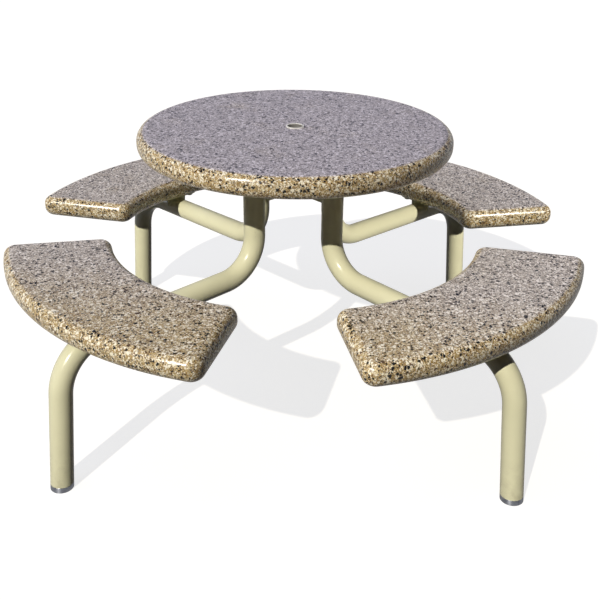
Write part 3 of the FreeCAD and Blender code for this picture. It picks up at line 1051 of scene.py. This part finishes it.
def floor_material():
    """A floor that is white to the camera, keeps the shadow and returns little light to the object."""
    stage = stage_settings()
    material = bpy.data.materials.new("studio_floor")
    tree = bare_tree(material)
    rays = place(tree, "ShaderNodeLightPath").outputs
    bounce = place(tree, "ShaderNodeBsdfDiffuse", {"Color": opaque(stage.floor_bounce)})
    shown = place(tree, "ShaderNodeBsdfDiffuse", {"Color": opaque(stage.floor_colour)})
    in_gloss = stage.floor_lift * FLOOR_IN_GLOSS
    strength = ramp(rays["Is Glossy Ray"], 0.0, 1.0, stage.floor_lift, in_gloss)
    lift = place(tree, "ShaderNodeEmission", {"Color": WHITE, "Strength": strength})
    lit = place(tree, "ShaderNodeAddShader", {0: shown.outputs[0], 1: lift.outputs[0]})
    top = mix_shader(tree, shown_rays(rays), bounce, lit)
    below = place(tree, "ShaderNodeNewGeometry").outputs["Backfacing"]
    both = mix_shader(tree, below, top, place(tree, "ShaderNodeBsdfTransparent"))
    place(tree, "ShaderNodeOutputMaterial", {"Surface": both.outputs[0]})
    return material


def build_floor():
    half = stage_settings().floor_size
    mesh = bpy.data.meshes.new("floor")
    spots = [(-half, -half, 0.0), (half, -half, 0.0), (half, half, 0.0), (-half, half, 0.0)]
    mesh.from_pydata(spots, [], [(0, 1, 2, 3)])
    mesh.materials.append(floor_material())
    floor = add_object("floor", mesh)


# Operators

class TABLESET_OT_table_slab(bpy.types.Operator):
    """Builds the round polished slab of the table"""

    bl_idname = "table_set.table_slab"
    bl_label = "Table slab"

    def execute(self, context):
        build_table_slab()
        return {"FINISHED"}


class TABLESET_OT_seat_slabs(bpy.types.Operator):
    """Builds the four curved polished seats"""

    bl_idname = "table_set.seat_slabs"
    bl_label = "Seat slabs"

    def execute(self, context):
        build_seat_slabs()
        return {"FINISHED"}


class TABLESET_OT_tubes(bpy.types.Operator):
    """Bends the four coated tubes"""

    bl_idname = "table_set.tubes"
    bl_label = "Bent tubes"

    def execute(self, context):
        build_tubes()
        return {"FINISHED"}


class TABLESET_OT_foot_caps(bpy.types.Operator):
    """Builds the bare bands at the feet"""

    bl_idname = "table_set.foot_caps"
    bl_label = "Foot bands"

    def execute(self, context):
        build_foot_caps()
        return {"FINISHED"}


class TABLESET_OT_umbrella_fittings(bpy.types.Operator):
    """Builds the sleeve in the umbrella hole and the ring below it"""

    bl_idname = "table_set.umbrella_fittings"
    bl_label = "Umbrella fittings"

    def execute(self, context):
        build_sleeve()
        build_pole_ring()
        return {"FINISHED"}


class TABLESET_OT_welds(bpy.types.Operator):
    """Runs the weld beads of the frame"""

    bl_idname = "table_set.welds"
    bl_label = "Weld beads"

    def execute(self, context):
        build_welds()
        return {"FINISHED"}


class TABLESET_OT_hardware(bpy.types.Operator):
    """Finishes the plates, saddles, braces, bolts and bars of the frame"""

    bl_idname = "table_set.hardware"
    bl_label = "Frame hardware"

    def execute(self, context):
        finish_hardware()
        return {"FINISHED"}


class TABLESET_OT_stage(bpy.types.Operator):
    """Sets up the floor, the lights and the camera"""

    bl_idname = "table_set.stage"
    bl_label = "Stage"

    def execute(self, context):
        build_floor()
        build_world()
        build_key_lights()
        build_camera()
        context.scene.view_settings.view_transform = "Standard"
        return {"FINISHED"}


OPERATORS = (
    TABLESET_OT_table_slab,
    TABLESET_OT_seat_slabs,
    TABLESET_OT_tubes,
    TABLESET_OT_foot_caps,
    TABLESET_OT_umbrella_fittings,
    TABLESET_OT_welds,
    TABLESET_OT_hardware,
    TABLESET_OT_stage,
)


class TABLESET_PT_panel(bpy.types.Panel):
    """Lists the pieces of the table set, its sizes and its colours"""

    bl_idname = "TABLESET_PT_panel"
    bl_label = "Table Set"
    bl_space_type = "VIEW_3D"
    bl_region_type = "UI"
    bl_category = "Table Set"

    def draw(self, context):
        layout = self.layout
        for operator in OPERATORS:
            layout.operator(operator.bl_idname)
        for group in (sizes(), colours(), stage_settings()):
            box = layout.box()
            for name in group.__annotations__:
                box.prop(group, name)


GROUPS = {
    "table_set_sizes": TableSetSizes,
    "table_set_colours": TableSetColours,
    "table_set_stage": TableSetStage,
}


def register():
    for name, group in GROUPS.items():
        bpy.utils.register_class(group)
        setattr(bpy.types.Scene, name, PointerProperty(type=group))
    for operator in OPERATORS:
        bpy.utils.register_class(operator)
    bpy.utils.register_class(TABLESET_PT_panel)


def unregister():
    bpy.utils.unregister_class(TABLESET_PT_panel)
    for operator in reversed(OPERATORS):
        bpy.utils.unregister_class(operator)
    for name, group in reversed(GROUPS.items()):
        delattr(bpy.types.Scene, name)
        bpy.utils.unregister_class(group)


def main():
    register()
    bpy.ops.table_set.table_slab()
    bpy.ops.table_set.seat_slabs()
    bpy.ops.table_set.tubes()
    bpy.ops.table_set.foot_caps()
    bpy.ops.table_set.umbrella_fittings()
    bpy.ops.table_set.welds()
    bpy.ops.table_set.hardware()
    bpy.ops.table_set.stage()


if __name__ == "__main__":
    main()
